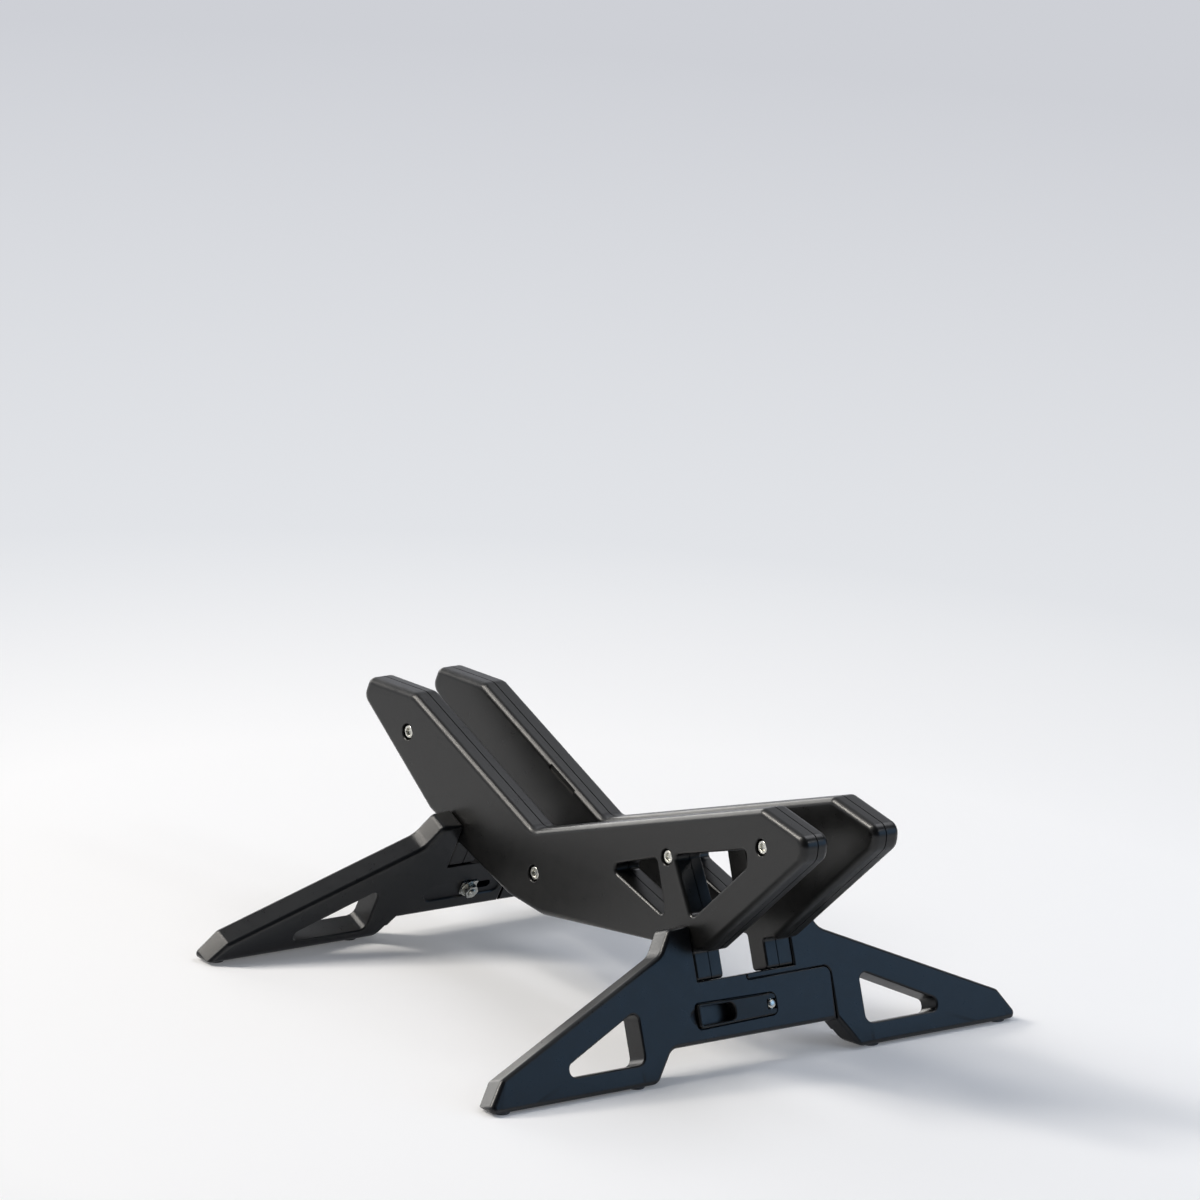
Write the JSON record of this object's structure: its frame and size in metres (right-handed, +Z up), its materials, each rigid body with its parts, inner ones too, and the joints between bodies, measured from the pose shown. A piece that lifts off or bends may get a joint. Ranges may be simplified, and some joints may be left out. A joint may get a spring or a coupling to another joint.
{
  "type": "bicycle parking stand",
  "caption": "Free-standing floor stand that holds a bicycle wheel upright between two side panels on two leaning legs, with lever clamps that set the width.",
  "frame": {"origin": "on the floor, in the middle of the stand", "axes": "+Y along the wheel from the raised front arm (-Y) to the lower rear arm, +X across the stand, +Z up"},
  "size_m": [0.48, 0.5212, 0.209],
  "materials": {
    "black_moulded_plastic": "fine-grained satin",
    "zinc_plated_steel": "bright zinc plating",
    "brass": "plain",
    "grey_rubber": "matte"
  },
  "bodies": {
    "left_side": {"foot_screw_front_left": "zinc_plated_steel", "foot_screw_rear_left": "zinc_plated_steel", "front_back_plate": "zinc_plated_steel", "front_cam_plate": "zinc_plated_steel", "front_clamp_bolt": "zinc_plated_steel", "front_clamp_nut": "zinc_plated_steel", "front_clamp_washer": "zinc_plated_steel", "front_leg_left": "black_moulded_plastic", "insert_left_1": "brass", "insert_left_2": "brass", "insert_left_3": "brass", "insert_left_4": "brass", "left_inner_shell": "black_moulded_plastic", "left_outer_shell": "black_moulded_plastic", "pad_front_left_heel": "grey_rubber", "pad_front_left_tip": "grey_rubber", "pad_rear_left_heel": "grey_rubber", "pad_rear_left_tip": "grey_rubber", "panel_screw_left_1": "zinc_plated_steel", "panel_screw_left_2": "zinc_plated_steel", "panel_screw_left_3": "zinc_plated_steel", "panel_screw_left_4": "zinc_plated_steel", "rear_leg_left": "black_moulded_plastic"},
    "right_side": {"foot_screw_front_right": "zinc_plated_steel", "foot_screw_rear_right": "zinc_plated_steel", "front_leg_right": "black_moulded_plastic", "insert_right_1": "brass", "insert_right_2": "brass", "insert_right_3": "brass", "insert_right_4": "brass", "pad_front_right_heel": "grey_rubber", "pad_front_right_tip": "grey_rubber", "pad_rear_right_heel": "grey_rubber", "pad_rear_right_tip": "grey_rubber", "panel_screw_right_1": "zinc_plated_steel", "panel_screw_right_2": "zinc_plated_steel", "panel_screw_right_3": "zinc_plated_steel", "panel_screw_right_4": "zinc_plated_steel", "rear_back_plate": "zinc_plated_steel", "rear_cam_plate": "zinc_plated_steel", "rear_clamp_bolt": "zinc_plated_steel", "rear_clamp_nut": "zinc_plated_steel", "rear_clamp_washer": "zinc_plated_steel", "rear_leg_right": "black_moulded_plastic", "right_inner_shell": "black_moulded_plastic", "right_outer_shell": "black_moulded_plastic"},
    "front_lever": {"front_cross_pin": "zinc_plated_steel", "front_lever": "black_moulded_plastic"},
    "rear_lever": {"rear_cross_pin": "zinc_plated_steel", "rear_lever": "black_moulded_plastic"}
  },
  "joints": [
    {"name": "width_slide", "type": "slide", "parent": "left_side", "child": "right_side", "axis": [1, 0, 0], "range_m": [0, 0.018]},
    {"name": "front_lever_hinge", "type": "hinge", "parent": "left_side", "child": "front_lever", "pos_m": [0.0165, -0.16737, 0.04104], "axis": [0, 0.3859, 0.9225], "range_deg": [0, 110]},
    {"name": "rear_lever_hinge", "type": "hinge", "parent": "right_side", "child": "rear_lever", "pos_m": [-0.0165, 0.16737, 0.04104], "axis": [0, -0.3859, 0.9225], "range_deg": [0, 110]}
  ]
}
